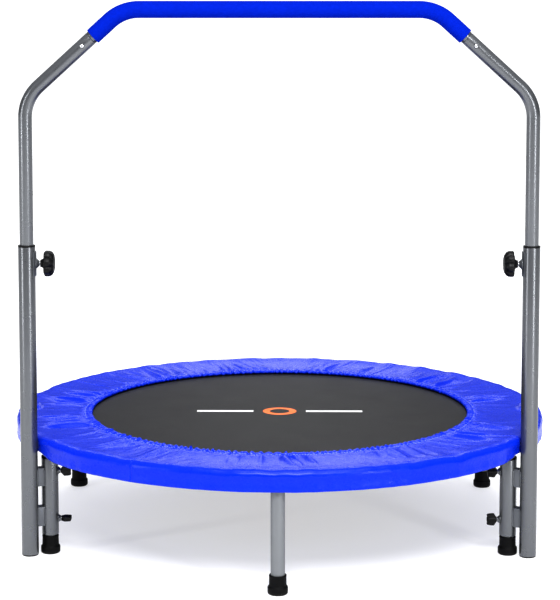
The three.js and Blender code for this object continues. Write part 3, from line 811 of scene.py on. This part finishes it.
def make_height_knob(name, side):
    """A lobed knob, its bolt, and the saddle plate with a conical nut that it runs in."""
    place = inwards(side, side * POST_X, POST_Y, KNOB_Z)
    hub_start, lobes_start, face = 25.2, 31.2, 52.0
    profile = [(3.8, hub_start), (6.9, hub_start), (7.4, hub_start + 2.6), (9.4, lobes_start - 0.6),
               (15, lobes_start + 0.9), (22.6, lobes_start + 1.3), (24.3, lobes_start + 3.2), (24.4, 38.5),
               (24.0, 43.0), (21.6, 47.0), (16.5, face - 1.7), (11.2, face - 0.6), (10.4, face - 1.5),
               (9.5, face - 1.5), (8.7, face - 0.4), (0, face)]
    knob = lathed(scaled_mm([(0, 44), (3.8, 44)] + profile), 0.9 * MM, 3, 168, reshape=lobed)
    make_piece(f"{name}_star_knob", moved(knob, place), PLASTIC,
               f"{name}_height_knob", "black_plastic", f"{name}_height_knob", smooth_angle=50)
    make_piece(f"{name}_knob_bolt", moved(threaded(SLIM_R + 0.5 * MM, 40 * MM), place), STEEL,
               f"{name}_height_stud", "bright_steel", f"{name}_height_stud")
    node = f"{name}_knob_nut"
    cone = [(4.2, 17.2), (9.4, 17.2), (9.6, 18.2), (7.2, 19.6), (5.6, 22.4), (5.0, 23.3), (4.2, 23.3)]
    shapes = [refined(node, 0.6 * MM, 35), moved(lathed(scaled_mm(cone), 0.5 * MM, 3, 44, True), place)]
    make_piece(f"{name}_saddle_nut", merged(*shapes), BRACKET_PAINT, "front_frame", "frame_paint", node)


def make_wing_knob(name, level, side):
    """A flat two-winged knob on a round hub."""
    place = inwards(side, side * SLEEVE_X, SLEEVE_Y, WING_LEVELS[level], WING_ROLL[name][level])
    neck = WIDE_R / MM + 5
    outline = [(-4.2, 0.6), (4.2, 0.6), (11.4, 5.2), (10.8, 12.5), (9.6, 18.9), (4.4, 17.6), (-4.4, 17.6),
               (-9.6, 18.9), (-10.8, 12.5), (-11.4, 5.2)]
    paddle = plate(filleted(scaled_mm(outline), 2.6 * MM, 5, True), -4.2 * MM, 4.2 * MM, 1.9 * MM, 4)
    paddle = moved(paddle, Matrix.Translation((0, 0, neck * MM)) @ Matrix.Rotation(math.pi / 2, 4, "X"))
    hub = [(0, neck + 12), (3.8, neck + 12), (3.8, neck), (5.4, neck), (5.6, neck + 6), (5.2, neck + 15.5),
           (4.0, neck + 18.4), (0, neck + 18.8)]
    boss = lathed(scaled_mm(hub), 0.7 * MM, 3, 40)
    own = f"{name}_{level}_wing"
    make_piece(f"{own}_grip", moved(merged(paddle, boss), place), PLASTIC,
               f"{own}_knob", "black_plastic", f"{own}_knob", smooth_angle=50)
    make_piece(f"{own}_bolt", moved(threaded(SLIM_R + 0.5 * MM, WIDE_R + 16 * MM), place), STEEL,
               f"{own}_stud", "bright_steel", f"{own}_stud")


# ---- hand rail ----
SLOPE = (RAIL_CORNER - RAIL_SHOULDER).normalized()
JOINT_Z = RAIL_SHOULDER.y + (RAIL_JOINT_X - RAIL_SHOULDER.x) * SLOPE.y / SLOPE.x
JOINT = Vector((RAIL_JOINT_X, JOINT_Z))
BUTTON = JOINT - SLOPE * BUTTON_FROM_JOINT


def rail_path(corners, steps_per_bend=22):
    """Stations along a path in the rail's plane, its inner corners rounded."""
    corners = [Vector(corner) for corner in corners]
    line = [(corners[0], (corners[1] - corners[0]).normalized())]
    for before, corner, after in zip(corners, corners[1:], corners[2:]):
        first, last = (corner - before).normalized(), (after - corner).normalized()
        turn = first.angle_signed(last)
        centre = corner + (last - first).normalized() * RAIL_BEND / math.cos(turn / 2)
        for k in range(steps_per_bend + 1):
            tangent = Matrix.Rotation(-turn * k / steps_per_bend, 2) @ first
            across = Vector((tangent.y, -tangent.x)) * math.copysign(RAIL_BEND, turn)
            line.append((centre - across, tangent))
    line.append((corners[-1], (corners[-1] - corners[-2]).normalized()))
    return [((p.x, POST_Y, p.y), (0, 1, 0), (-t.y, 0, t.x)) for p, t in line]


def button_place(side, tilt=Matrix.Identity(4)):
    """A snap button's place; its own +Z points forward out of the tube."""
    middle = Matrix.Translation((side * BUTTON.x, POST_Y, BUTTON.y))
    return middle @ tilt @ Matrix.Rotation(math.pi / 2, 4, "X")


def button_hole(side):
    return moved(rod(4.3 * MM, 6 * MM, 20 * MM, 32), button_place(side))


def make_side_tube(name, side):
    """One side of the rail with its four height holes, and the snap button that holds the top bar."""
    shoulder = side * RAIL_SHOULDER.x
    corners = [(shoulder, RAIL_BOTTOM), (shoulder, RAIL_SHOULDER.y), (side * JOINT.x, JOINT.y)]
    shape = tube_along(rail_path(corners), SLIM_R, SLIM_BORE, 48, 0.6 * MM)
    tube = mesh_object(f"{name}_upright_tube", shape, PAINT)
    hole = rod(4.1 * MM, 6 * MM, 20 * MM, 28)
    heights = [KNOB_Z + i * HEIGHT_STEP for i in range(4)]
    cutters = [moved(hole, inwards(side, side * POST_X, POST_Y, height)) for height in heights]
    drilled(tube, cutters + [button_hole(side)])
    placed(tube, "hand_rail", "frame_paint", f"{name}_side_tube")

    tilt = Matrix.Rotation(math.atan2(side * SLOPE.x, SLOPE.y), 4, "Y")
    place = button_place(side, tilt)
    profile = [(0, 7.4), (3.7, 7.4), (3.7, 13.2), (3.2, 14.3), (1.8, 14.9), (0, 15)]
    dome = lathed(scaled_mm(profile), 0.5 * MM, 3, 40)
    outline = scaled_mm([(-4.5, -12), (4.5, -12), (4.5, 12), (-4.5, 12)])
    leaf = plate(outline, 6.9 * MM, 7.7 * MM, 0.2 * MM)
    make_piece(f"{name}_snap_pin", moved(merged(dome, leaf), place), STEEL,
               f"{name}_snap_button", "bright_steel", f"{name}_snap_button")


def over_the_top(end):
    """The corners of the top bar's path between two ends, one at each side."""
    return [(-end.x, end.y), (-RAIL_CORNER.x, RAIL_CORNER.y), (RAIL_CORNER.x, RAIL_CORNER.y), (end.x, end.y)]


def make_top_bar():
    """The top bar with its reduced ends, and the foam grip over it."""
    meet = JOINT + SLOPE * 0.8 * MM
    shapes = [tube_along(rail_path(over_the_top(meet)), SLIM_R, SLIM_BORE, 48, 0.6 * MM)]
    spigot = scaled_mm([(10, -45), (11.2, -45), (11.2, 0), (11.9, 0.6), (11.9, 12), (10, 12)])
    for side in SIDES.values():
        tilt = Matrix.Rotation(math.atan2(side * -SLOPE.x, -SLOPE.y) + math.pi, 4, "Y")
        place = Matrix.Translation((side * meet.x, POST_Y, meet.y)) @ tilt
        shapes.append(moved(lathed(spigot, 0.4 * MM, 3, 48, True), place))
    bar = mesh_object("top_bar_tube", merged(*shapes), PAINT)
    drilled(bar, [button_hole(side) for side in SIDES.values()])
    placed(bar, "hand_rail", "frame_paint", "top_bar")

    path = rail_path(over_the_top(JOINT + SLOPE * 5 * MM), 30)
    make_piece("foam_sleeve", tube_along(path, FOAM_RADIUS, SLIM_R + 0.35 * MM, 56, 0.9 * MM), FOAM,
               "hand_rail", "grip_foam", "foam_grip")


# ---- safety pad ----
POST_LEG_ANGLES = [math.radians(angle) for angle in (210, 330)]
SEAMS = [math.radians(angle) for angle in (60, 150, 240, 330)]


def ring_row(angles, reach, level):
    """A row of points round the pad, at a radius and a height that may differ from point to point."""
    return np.stack([reach * np.cos(angles), reach * np.sin(angles), level + 0 * angles], 1)


def pad_columns():
    """Angles round the pad, closer together at each seam."""
    columns = 1120
    near_seam = 5 * MM / PAD_OUTER
    even = [i * (FULL_TURN / columns) for i in range(columns)]
    kept = [angle for angle in even if all(abs(angle - seam) > near_seam for seam in SEAMS)]
    offsets = [k * 1.1 * MM / PAD_OUTER for k in range(-4, 5)]
    return np.sort(np.array(kept + [seam + offset for seam in SEAMS for offset in offsets]))


def ripple(angles, waves, seed, variety=0.35, terms=16):
    """Uneven waves round the pad, about this many to the full turn, seldom past 2 either way."""
    random = np.random.default_rng(seed)
    counts = random.integers(int(waves * (1 - variety)), int(waves * (1 + variety)) + 1, terms)
    phases = random.uniform(0, FULL_TURN, terms)
    total = sum(np.cos(count * angles + phase) for count, phase in zip(counts, phases))
    return total / math.sqrt(terms / 2)


def smooth_step(value):
    """0 below 0 and 1 above 1, with a soft start and end between."""
    value = np.clip(value, 0, 1)
    return value * value * (3 - 2 * value)


def ruffle(angles):
    """The elastic hem's own frill, as a height in metres."""
    return 0.85 * MM * ripple(angles, 215, 11) + 0.5 * MM * ripple(angles, 330, 12)


def top_height(radius):
    """The pad's top without folds: it drops to the stitched hem and swells over the ring."""
    drop = 3.6 * MM * (1 - smooth_step((radius - STITCH_RADIUS) / (26 * MM)))
    swell = 1.3 * MM * np.exp(-((radius - 499 * MM) / (15 * MM)) ** 2)
    return PAD_TOP - drop + swell - 0.7 * MM


def creases(value, sharpness=0.16):
    """Narrow ridges where a wave crosses zero, and shallow troughs between them."""
    return 1 - 1.5 * np.sqrt(value * value + sharpness * sharpness)


def folds(angles, radius):
    """Gathers that start at the stitch line, join into broader folds, and die out at the crest."""
    out = (radius - STITCH_RADIUS) / MM
    lean = 0.045 * ripple(angles, 6, 21) + 0.022 * ripple(angles, 17, 22) + 0.012 * ripple(angles, 41, 23)
    place = angles + lean * out / 110
    fine = 0.9 * MM * ripple(place, 215, 11) * np.exp(-out / 10)
    middle = 1.25 * MM * creases(ripple(place, 62, 31, 0.5)) * (1 - np.exp(-out / 7)) * np.exp(-out / 42)
    broad = 1.35 * MM * creases(ripple(place, 31, 41, 0.5), 0.3)
    broad = broad * smooth_step(out / 26) * (1 - smooth_step((out - 58) / 58))
    soft = 0.8 * MM * ripple(place, 58, 43) * smooth_step(out / 18) * (1 - smooth_step((out - 50) / 64))
    patches = 0.65 + 0.35 * np.clip(ripple(angles, 11, 45), -1, 1)
    return fine + FOLD_STRENGTH * (middle + broad + soft) * patches


def gathered_top(angles, radii):
    """The band of cloth between stitch line and crest, as one row of points for each radius."""
    rows = []
    for radius in radii:
        near_crest = smooth_step((radius - 465 * MM) / (35 * MM))
        height = top_height(radius) + folds(angles, radius) + near_crest * crest_wave(angles)
        rows.append(ring_row(angles, radius, height))
    return inflated(rows)


def inflated(rows):
    """The band blown up a little from inside by a cloth simulation, its hem and crest held."""
    count = len(rows[0])
    points = np.vstack(rows)
    mesh = bpy.data.meshes.new("band")
    mesh.from_pydata(points.tolist(), [], grid_faces(len(rows), count))
    band = bpy.data.objects.new("band", mesh)
    SCENE.collection.objects.link(band)
    held = band.vertex_groups.new(name="held")
    held.add(list(range(count)) + list(range(len(points) - count, len(points))), 1.0, "REPLACE")
    cloth = band.modifiers.new("cloth", "CLOTH")
    cloth.settings.quality = 5
    cloth.settings.vertex_group_mass = "held"
    cloth.settings.use_pressure = True
    cloth.settings.uniform_pressure_force = 3
    cloth.settings.effector_weights.gravity = 0
    cloth.point_cache.frame_start = 1
    cloth.point_cache.frame_end = SWELL_FRAMES
    for number in range(1, SWELL_FRAMES + 1):
        SCENE.frame_set(number)
    evaluated = band.evaluated_get(bpy.context.evaluated_depsgraph_get())
    result = np.empty(len(points) * 3)
    evaluated.data.vertices.foreach_get("co", result)
    SCENE.frame_set(1)
    bpy.data.objects.remove(band)
    moved_by = result.reshape(-1, 3) - points
    length = np.linalg.norm(moved_by, axis=1)[:, None]
    moved_by *= SWELL_LIMIT * np.tanh(length / SWELL_LIMIT) / np.maximum(length, 1e-9)
    settled = points + moved_by
    return [settled[level * count:(level + 1) * count] for level in range(len(rows))]


def hem_rows(angles):
    """The elastic casing at the pad's inner edge, from underneath, over its frilled edge, to the stitches."""
    frill = ruffle(angles)
    wander = 0.7 * MM * ripple(angles, 240, 13)
    section = [(375.6, 217.7, 0.1), (372.9, 218.7, 0.55), (371.9, 220.4, 0.9), (372.4, 222.3, 1.0),
               (374.6, 223.7, 1.0), (377.6, 224.1, 0.95), (380.6, 223.6, 0.8), (383.4, 222.6, 0.6)]
    rows = []
    for radius, height, share in section:
        reach = radius * MM + wander * share
        clear_of_mat = 217.1 * MM
        rows.append(ring_row(angles, reach, np.maximum(height * MM + frill * share, clear_of_mat)))
    return rows


def crest_wave(angles):
    """The crest's own slow unevenness, as a height in metres."""
    return 0.55 * MM * ripple(angles, 34, 53) + 0.3 * MM * ripple(angles, 75, 54)


def skirt_rows(angles):
    """Over the crest, down the skirt, round its hem and back up inside."""
    wave = ripple(angles, 26, 51)
    hitch = sum(np.exp(-(((angles - leg) * PAD_OUTER) / (42 * MM)) ** 2) for leg in POST_LEG_ANGLES)
    small = ripple(angles, 90, 52)
    crest_centre = PAD_OUTER - CREST_RADIUS
    crease = PAD_TOP - CREST_RADIUS
    line = []
    for k in range(1, 11):
        angle = math.pi / 2 * (1 - k / 10)
        radius = crest_centre + CREST_RADIUS * math.cos(angle)
        line.append((radius, PAD_TOP - CREST_RADIUS + CREST_RADIUS * math.sin(angle), k / 10))
    for k in range(1, 9):
        share = k / 9
        radius = PAD_OUTER - 0.9 * MM * math.sin(math.pi * share)
        line.append((radius, crease + (SKIRT_BOTTOM + 3 * MM - crease) * share, 1))
    turned_up = [(519.4, 188.6, 1), (518.7, 187.2, 1), (517.3, 187.0, 1), (516.1, 187.8, 1), (515.9, 191, 1),
                 (516.2, 197, 0.6), (513.4, 203, 0.2)]
    line += [(radius * MM, height * MM, share) for radius, height, share in turned_up]
    rows = []
    for radius, height, share in line:
        low = smooth_step((crease - height) / (crease - SKIRT_BOTTOM))
        reach = radius + share * (0.5 * wave + 0.25 * small * low) * MM - 2 * MM * hitch * low
        rows.append(ring_row(angles, reach, height + (1 - low) * crest_wave(angles) + hitch * low * 8 * MM))
    return rows


def under_rows(angles):
    """The lining: over the ring tube, then flat above the springs to the hem."""
    clear = SLIM_R + 3.5 * MM
    end = math.pi - math.asin((PAD_UNDER - RING_Z) / clear)
    turns = [end * k / 12 for k in range(13)]
    line = [(RING_RADIUS + clear * math.cos(turn), RING_Z + clear * math.sin(turn)) for turn in turns]
    inner = 378 * MM
    start = line[-1][0]
    line += [(start + (inner - start) * k / 14, PAD_UNDER) for k in range(1, 15)]
    puffs = 0.25 * MM * ripple(angles, 70, 61)
    rows = []
    for number, (radius, height) in enumerate(line):
        lift = puffs if number > len(turns) else 0
        rows.append(ring_row(angles, radius, height + lift))
    return rows


def over_hinge(points, height):
    """Lifts the pad where a hinge pushes it up from inside."""
    x, y, z = points.T
    near = 1 - smooth_step((np.abs(y) - 8 * MM) / (20 * MM))
    near = near * (1 - smooth_step((np.abs(np.abs(x) - RING_RADIUS) - 14 * MM) / (9 * MM)))
    points[:, 2] = z + near * np.maximum(0, height - z)


def past_posts(points):
    """Presses the pad in where a post stands against it."""
    clear = WIDE_R + 0.8 * MM
    for side in SIDES.values():
        post = np.array([side * POST_X, POST_Y])
        away = points[:, :2] - post
        distance = np.linalg.norm(away, axis=1)
        near = distance < clear
        points[near, :2] = post + away[near] / distance[near, None] * clear


def sewn_seams(rows, angles):
    """A narrow puckered groove along each seam."""
    for row in rows:
        reach = np.linalg.norm(row[:, :2], axis=1)
        for seam in SEAMS:
            aside = (angles - seam) * PAD_OUTER
            groove = -0.95 * MM * np.exp(-(aside / (1.2 * MM)) ** 2)
            groove = groove + 0.35 * MM * np.exp(-((np.abs(aside) - 3.2 * MM) / (1.6 * MM)) ** 2)
            lean = smooth_step((reach - (PAD_OUTER - CREST_RADIUS)) / CREST_RADIUS)
            outward = row[:, :2] / reach[:, None]
            row[:, :2] += outward * (groove * lean)[:, None]
            row[:, 2] += groove * (1 - lean)


def make_pad():
    """The pad's cover as one closed sheet: hem, top, skirt and lining, with its stitches."""
    angles = pad_columns()
    radii = np.linspace(STITCH_RADIUS, PAD_OUTER - CREST_RADIUS - 3 * MM, 34)
    hem = hem_rows(angles)
    top = gathered_top(angles, radii)
    skirt = skirt_rows(angles)
    under = under_rows(angles)
    sewn_seams(hem[3:] + top + skirt[:18], angles)
    for row in top + skirt[:10]:
        over_hinge(row, HINGE_LUMP_TOP)
    for row in under:
        over_hinge(row, HINGE_LUMP_UNDER)
    rows = hem + top + skirt + under
    points = np.vstack(rows)
    past_posts(points)
    lengths = [0.0]
    for before, after in zip(rows, rows[1:]):
        lengths.append(lengths[-1] + float(np.mean(np.linalg.norm(after - before, axis=1))))
    uv = np.array([(angle * PAD_OUTER, length) for length in lengths for angle in angles])
    pad = mesh_object("safety_pad_cover", (points, grid_faces(len(rows), len(angles), True)), VINYL, uv, 80)
    spanning(pad, "pad_vinyl", "front_pad_half", "back_pad_half")
    make_stitches("hem_stitches", rows[len(hem)], angles, 470)


def make_stitches(name, row, angles, count):
    """Short thread stitches lying on a row of the pad."""
    shapes = []
    length = 3.2 * MM
    thread_radius = 0.42 * MM
    middle = STITCH_RADIUS + 0.25 * MM
    heights = np.interp(np.arange(count) * FULL_TURN / count, angles, row[:, 2], period=FULL_TURN)
    for number in range(count):
        angle = number * FULL_TURN / count
        along = np.array([-math.sin(angle), math.cos(angle), 0])
        centre = np.array([middle * math.cos(angle), middle * math.sin(angle), heights[number] + 0.3 * MM])
        path = [centre + along * length * t + np.array([0, 0, -0.5 * MM * (2 * t) ** 4])
                for t in (-0.5, -0.36, 0, 0.36, 0.5)]
        shapes.append(wire(path, thread_radius, 6))
    spanning(mesh_object(name, merged(*shapes), THREAD, smooth_angle=80), "pad_vinyl")


# ---- mat, webbing and springs ----
def mat_rows():
    """Heights along Y at which the mat has a row, close together at the fold."""
    near = [k * 2 * MM for k in range(13)]
    last = near[-1]
    far = [last + (MAT_RADIUS - last) * math.sin(math.pi / 2 * k / 46) for k in range(1, 46)]
    positive = near[1:] + far
    return [-value for value in reversed(positive)] + [0] + positive


def make_mat():
    """The woven disc, as two layers joined round the rim."""
    rows = mat_rows()
    columns = 96
    thickness = 1.4 * MM
    points, uv = [], []
    for level in (MAT_TOP, MAT_TOP - thickness):
        for y in rows:
            half = math.sqrt(MAT_RADIUS ** 2 - y ** 2)
            for i in range(columns + 1):
                x = half * math.sin(math.pi / 2 * (2 * i / columns - 1))
                points.append((x, y, level))
                uv.append((x, y))
    width = columns + 1
    layer = len(rows) * width
    faces = []
    for j in range(len(rows) - 1):
        for i in range(columns):
            a, b, c, d = j * width + i, j * width + i + 1, (j + 1) * width + i + 1, (j + 1) * width + i
            faces += [(a, b, c, d), (d + layer, c + layer, b + layer, a + layer)]
    rim = list(range(width)) + [j * width + columns for j in range(1, len(rows))]
    rim += [(len(rows) - 1) * width + i for i in range(columns - 1, -1, -1)]
    rim += [j * width for j in range(len(rows) - 2, 0, -1)]
    for a, b in zip(rim, rim[1:] + rim[:1]):
        faces.append((a, a + layer, b + layer, b))
    mat = mesh_object("jumping_mat", (np.array(points), faces), MESH, uv)
    spanning(mat, "mat_mesh", "front_mat_half", "back_mat_half")


def fold_angles(steps, radius):
    """Angles round a ring, closer together where it crosses the fold."""
    even = [FULL_TURN * i / steps for i in range(steps)]
    near = [k * 2.5 * MM / radius for k in range(-9, 10)]
    limit = near[-1] + 1 * MM / radius
    kept = [a for a in even if min(a, abs(a - math.pi), FULL_TURN - a) > limit]
    return np.sort(np.array(kept + [a % FULL_TURN for a in near] + [math.pi + a for a in near]))


def make_webbing():
    """The tape folded over the mat's edge."""
    section = [(379, 217.45), (405, 217.45), (408.4, 216.9), (409, 215.4), (408.4, 213.9), (405, 213.3),
               (386, 213.3), (386, 214.1), (404.6, 214.1), (407.4, 214.6), (408.0, 215.4), (407.4, 216.2),
               (404.6, 216.65), (379, 216.65)]
    section = scaled_mm(section)
    angles = fold_angles(300, MAT_RADIUS)
    rows = [np.array([(r * math.cos(a), r * math.sin(a), z) for r, z in section]) for a in angles]
    across = np.concatenate([[0], np.cumsum(np.linalg.norm(np.diff(np.array(section), axis=0), axis=1))])
    uv = [(a * MAT_RADIUS, value) for a in angles for value in across]
    spanning(mesh_object("mat_edge_webbing", skinned(rows, True), WEBBING, uv), "spring_steel")


def spring_shape():
    """One tension spring along +X with a hook at each end, and the triangle ring that joins it to the mat."""
    coil_start = 424 * MM
    coil_end = 466 * MM
    coil_radius = 3.45 * MM
    wire_radius = 0.8 * MM
    hook_radius = 2.7 * MM
    hook_out = 484 * MM
    line = []
    for k in range(11):
        angle = math.pi * k / 10
        line.append((416.8 * MM - hook_radius * math.sin(angle), 0, -hook_radius * math.cos(angle)))
    steps = 12
    total = 22 * steps
    for k in range(total + 1):
        angle = FULL_TURN * k / steps
        grow = min(1, k / 6, (total - k) / 6)
        reach = coil_radius * (0.75 + 0.25 * grow)
        x = coil_start + (coil_end - coil_start) * k / total
        line.append((x, -reach * math.sin(angle), -reach * math.cos(angle)))
    line += [(hook_out + x * MM, 0, z * MM) for x, z in ((-9, -1.6), (-4, 0.6), (-1, 1.2), (1.5, 0.2))]
    ring = [(403, 9), (414.2, 1.2), (415.2, 0), (414.2, -1.2), (403, -9), (402.2, -8), (402.2, 8)]
    corners = filleted(scaled_mm(ring), 1.5 * MM, 4, True)
    triangle = [(x, y, 0) for x, y in corners + corners[:1]]
    return merged(wire(line, wire_radius, 7), wire(triangle, 1.15 * MM, 8))


def make_springs():
    one = spring_shape()
    for where, (half, body) in HALVES.items():
        angles = [half * math.pi * (i + 0.5) / SPRINGS_PER_HALF for i in range(SPRINGS_PER_HALF)]
        shapes = [moved(one, at(0, 0, SPRING_Z, angle)) for angle in angles]
        make_piece(f"{where}_coil_springs", merged(*shapes), SPRING_STEEL,
                   body, "spring_steel", f"{where}_springs", smooth_angle=60)


# ---- the whole object ----
make_camera()
make_studio()

PAINT = powder_coat("silver_powder_coat", (0.152, 0.158, 0.168), 0.28, 0.75)
LEG_PAINT = powder_coat("matt_leg_coat", (0.185, 0.193, 0.204), 0.5, 0.35)
BRACKET_PAINT = powder_coat("bracket_coat", (0.125, 0.132, 0.144), 0.42, 0.5)
STEEL = plated_steel("zinc_plate", (0.66, 0.67, 0.69), 0.24)
SPRING_STEEL = plated_steel("galvanised_wire", (0.52, 0.53, 0.55), 0.34)
PLASTIC = moulded_plastic("black_nylon", (0.004, 0.004, 0.0045), 0.42)
RUBBER = foot_rubber()
FOAM = grip_foam()
VINYL = pad_vinyl()
MESH = mat_mesh()
WEBBING = black_webbing()
THREAD = sewing_thread("pale_thread", (0.42, 0.5, 0.82))

for where, (half, body) in HALVES.items():
    make_frame_half(where, half, body)
for where, (half, body) in HALVES.items():
    for spot in SPOTS:
        make_leg(f"{where}_{spot}", body)
for side_name, side in SIDES.items():
    make_hinge(side_name)
    make_post(side_name, side)
    make_sleeve(side_name, side)
    make_brackets(side_name, side)
    make_height_knob(side_name, side)
    make_side_tube(side_name, side)
    for level in WING_LEVELS:
        make_wing_knob(side_name, level, side)
make_top_bar()
make_pad()
make_mat()
make_webbing()
make_springs()
